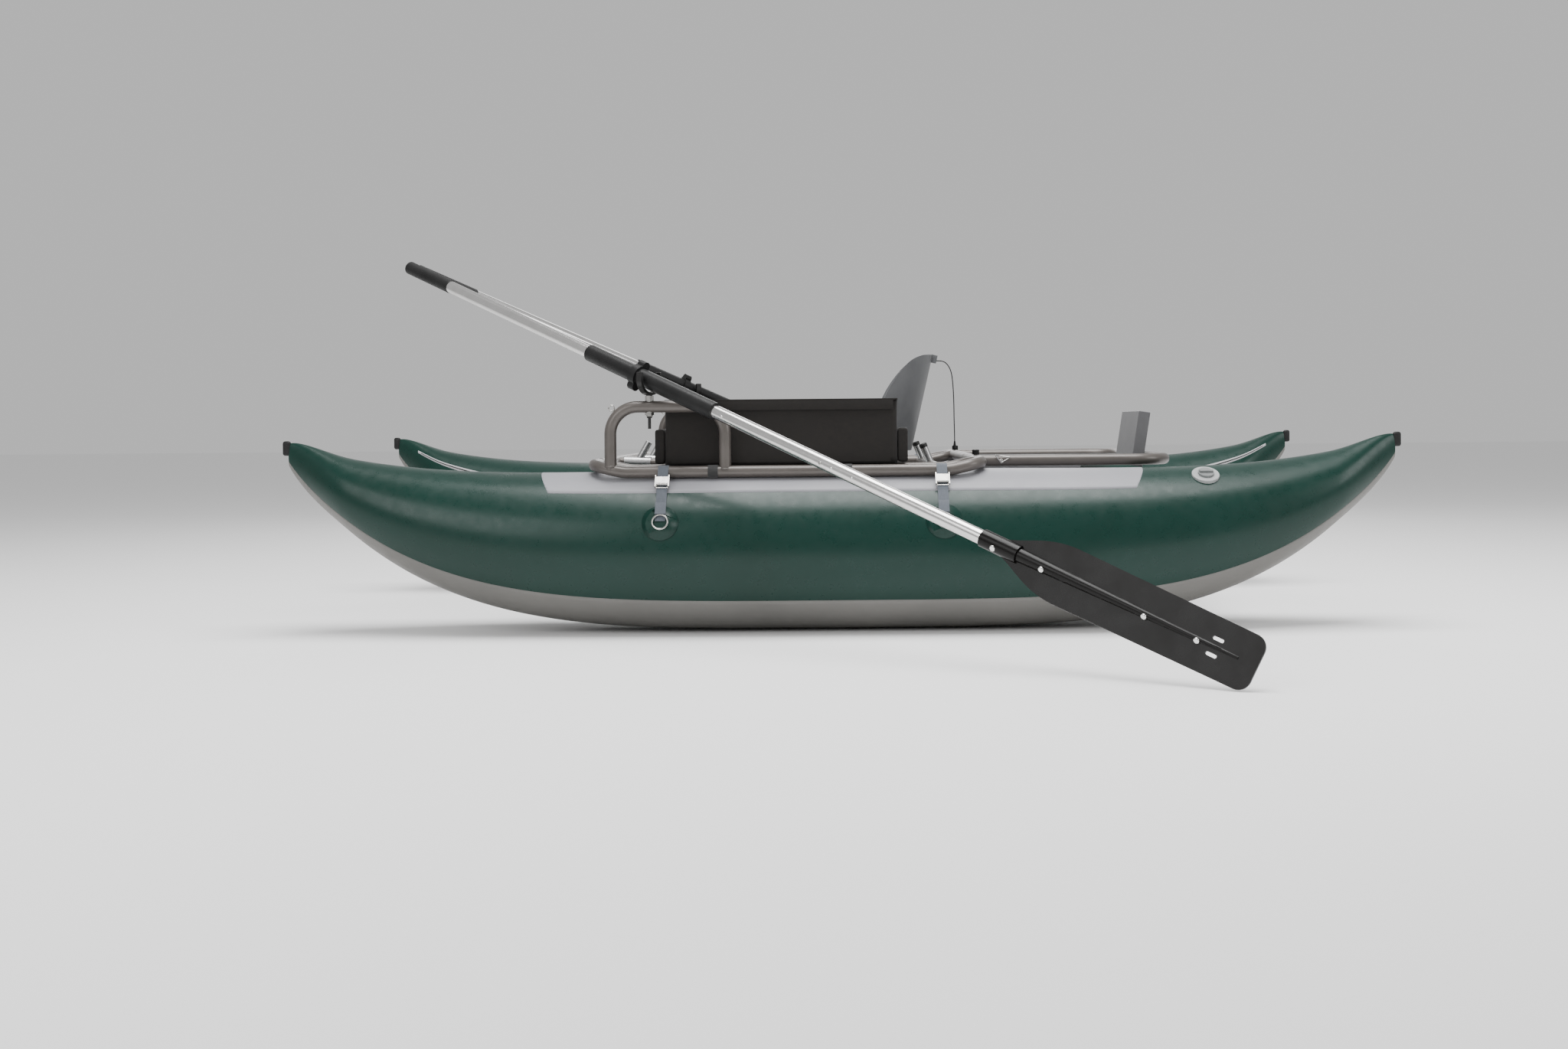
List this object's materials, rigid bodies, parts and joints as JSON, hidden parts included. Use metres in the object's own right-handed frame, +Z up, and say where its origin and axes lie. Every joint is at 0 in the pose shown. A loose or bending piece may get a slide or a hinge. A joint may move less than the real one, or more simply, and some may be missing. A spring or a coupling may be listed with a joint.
{
  "type": "pontoon boat",
  "caption": "Inflatable catamaran with a tubular frame joining two pontoons, folding seat, oars in raised oarlocks, side bags, rear deck and motor board.",
  "frame": {"origin": "floor level below the middle of the boat, on its centreline", "axes": "+X towards the stern, +Y towards starboard, +Z up"},
  "size_m": [2.7424, 3.0662, 0.9518],
  "materials": {
    "cover_cloth": "satin",
    "bladder_film": "satin",
    "patch_cloth": "satin",
    "strip_cloth": "satin",
    "zipper_tape": "matte",
    "tab_webbing": "matte",
    "ring_steel": "polished",
    "valve_plastic": "satin",
    "strap_webbing": "matte",
    "buckle_steel": "satin",
    "frame_paint": "satin metallic",
    "foot_aluminium": "satin",
    "deck_netting": "matte",
    "board_plastic": "matte",
    "knob_plastic": "satin",
    "lock_steel": "satin",
    "lock_paint": "satin",
    "shaft_aluminium": "bright",
    "grip_rubber": "matte",
    "blade_plastic": "satin",
    "seat_plastic": "satin",
    "cord_braid": "matte",
    "bag_cloth": "matte"
  },
  "bodies": {
    "hull": {"backrest_posts": "foot_aluminium", "bag_straps": "bag_cloth", "clamp_knobs": "knob_plastic", "d_rings": "ring_steel", "deck_frame": "frame_paint", "deck_mesh": "deck_netting", "eye_rings": "ring_steel", "foot_rails": "frame_paint", "frame_straps": "strap_webbing", "front_crossbar": "frame_paint", "lock_bushings": "lock_steel", "lock_nuts": "lock_steel", "motor_board": "board_plastic", "port_bag_body": "bag_cloth", "port_bladder": "bladder_film", "port_oar_stand": "frame_paint", "port_pontoon_cover": "cover_cloth", "port_side_rail": "frame_paint", "rear_crossbar": "frame_paint", "ring_patches": "cover_cloth", "seat_bars": "frame_paint", "seat_hinge_pin": "ring_steel", "seat_pan": "seat_plastic", "starboard_bag_body": "bag_cloth", "starboard_bladder": "bladder_film", "starboard_oar_stand": "frame_paint", "starboard_pontoon_cover": "cover_cloth", "starboard_side_rail": "frame_paint", "strap_buckles": "buckle_steel", "tip_tabs": "tab_webbing", "top_patches": "patch_cloth", "valve_bodies": "valve_plastic", "wear_strips": "strip_cloth", "zippers": "zipper_tape"},
    "port_oarlock": {"port_oarlock": "lock_paint"},
    "port_oar": {"port_oar_upper_shaft": "shaft_aluminium", "port_oar_lower_shaft": "shaft_aluminium", "port_oar_grip": "grip_rubber", "port_oar_sleeve": "blade_plastic", "port_oar_blade": "blade_plastic"},
    "port_snap_button": {"port_snap_button": "ring_steel"},
    "port_valve_cap": {"port_valve_cap": "valve_plastic"},
    "port_bag_lid": {"port_bag_lid": "bag_cloth"},
    "port_front_buckle_lever": {"port_front_buckle_lever": "buckle_steel"},
    "port_rear_buckle_lever": {"port_rear_buckle_lever": "buckle_steel"},
    "starboard_oarlock": {"starboard_oarlock": "lock_paint"},
    "starboard_oar": {"starboard_oar_upper_shaft": "shaft_aluminium", "starboard_oar_lower_shaft": "shaft_aluminium", "starboard_oar_grip": "grip_rubber", "starboard_oar_sleeve": "blade_plastic", "starboard_oar_blade": "blade_plastic"},
    "starboard_snap_button": {"starboard_snap_button": "ring_steel"},
    "starboard_valve_cap": {"starboard_valve_cap": "valve_plastic"},
    "starboard_bag_lid": {"starboard_bag_lid": "bag_cloth"},
    "starboard_front_buckle_lever": {"starboard_front_buckle_lever": "buckle_steel"},
    "starboard_rear_buckle_lever": {"starboard_rear_buckle_lever": "buckle_steel"},
    "seat_back": {"seat_back": "seat_plastic", "backrest_cord": "cord_braid", "cord_toggle": "knob_plastic"},
    "foot_bar": {"foot_bar": "foot_aluminium"}
  },
  "joints": [
    {"name": "port_oarlock_swivel", "type": "hinge", "parent": "hull", "child": "port_oarlock", "pos_m": [-0.462, -0.59, 0.608], "axis": [0, 0, 1], "range_deg": [-75, 8]},
    {"name": "port_oar_tilt", "type": "hinge", "parent": "port_oarlock", "child": "port_oar", "pos_m": [-0.462, -0.59, 0.608], "axis": [-0.6088, -0.7934, 0], "range_deg": [-8, 24]},
    {"name": "port_snap_button_press", "type": "slide", "parent": "port_oar", "child": "port_snap_button", "axis": [-0.6088, -0.7934, 0], "range_m": [-0.004, 0], "stiffness_N_per_m": 400},
    {"name": "starboard_oarlock_swivel", "type": "hinge", "parent": "hull", "child": "starboard_oarlock", "pos_m": [-0.462, 0.59, 0.608], "axis": [0, 0, 1], "range_deg": [-8, 75]},
    {"name": "starboard_oar_tilt", "type": "hinge", "parent": "starboard_oarlock", "child": "starboard_oar", "pos_m": [-0.462, 0.59, 0.608], "axis": [0.6088, -0.7934, 0], "range_deg": [-8, 24]},
    {"name": "starboard_snap_button_press", "type": "slide", "parent": "starboard_oar", "child": "starboard_snap_button", "axis": [-0.6088, 0.7934, 0], "range_m": [-0.004, 0], "stiffness_N_per_m": 400},
    {"name": "seat_back_fold", "type": "hinge", "parent": "hull", "child": "seat_back", "pos_m": [0.16, 0, 0.456], "axis": [0, -1, 0], "range_deg": [0, 50]},
    {"name": "foot_bar_slide", "type": "slide", "parent": "hull", "child": "foot_bar", "axis": [0.9993, 0, -0.0369], "range_m": [0, 0.25]},
    {"name": "port_front_buckle_lift", "type": "hinge", "parent": "hull", "child": "port_front_buckle_lever", "pos_m": [-0.4285, -0.63624, 0.36048], "axis": [1, 0, 0], "range_deg": [0, 80]},
    {"name": "port_rear_buckle_lift", "type": "hinge", "parent": "hull", "child": "port_rear_buckle_lever", "pos_m": [0.239, -0.63631, 0.36173], "axis": [1, 0, 0], "range_deg": [0, 80]},
    {"name": "port_valve_cap_turn", "type": "hinge", "parent": "hull", "child": "port_valve_cap", "pos_m": [0.874, -0.58764, 0.36765], "axis": [0, -0.5, 0.866], "range_deg": [0, 90]},
    {"name": "port_bag_lid_hinge", "type": "hinge", "parent": "hull", "child": "port_bag_lid", "pos_m": [-0.1465, -0.415, 0.5575], "axis": [-1, 0, 0], "range_deg": [0, 100]},
    {"name": "starboard_front_buckle_lift", "type": "hinge", "parent": "hull", "child": "starboard_front_buckle_lever", "pos_m": [-0.4285, 0.63624, 0.36048], "axis": [-1, 0, 0], "range_deg": [0, 80]},
    {"name": "starboard_rear_buckle_lift", "type": "hinge", "parent": "hull", "child": "starboard_rear_buckle_lever", "pos_m": [0.239, 0.63631, 0.36173], "axis": [-1, 0, 0], "range_deg": [0, 80]},
    {"name": "starboard_valve_cap_turn", "type": "hinge", "parent": "hull", "child": "starboard_valve_cap", "pos_m": [0.874, 0.58764, 0.36765], "axis": [0, -0.5, -0.866], "range_deg": [0, 90]},
    {"name": "starboard_bag_lid_hinge", "type": "hinge", "parent": "hull", "child": "starboard_bag_lid", "pos_m": [-0.1465, 0.415, 0.5575], "axis": [-1, 0, 0], "range_deg": [-100, 0]}
  ]
}
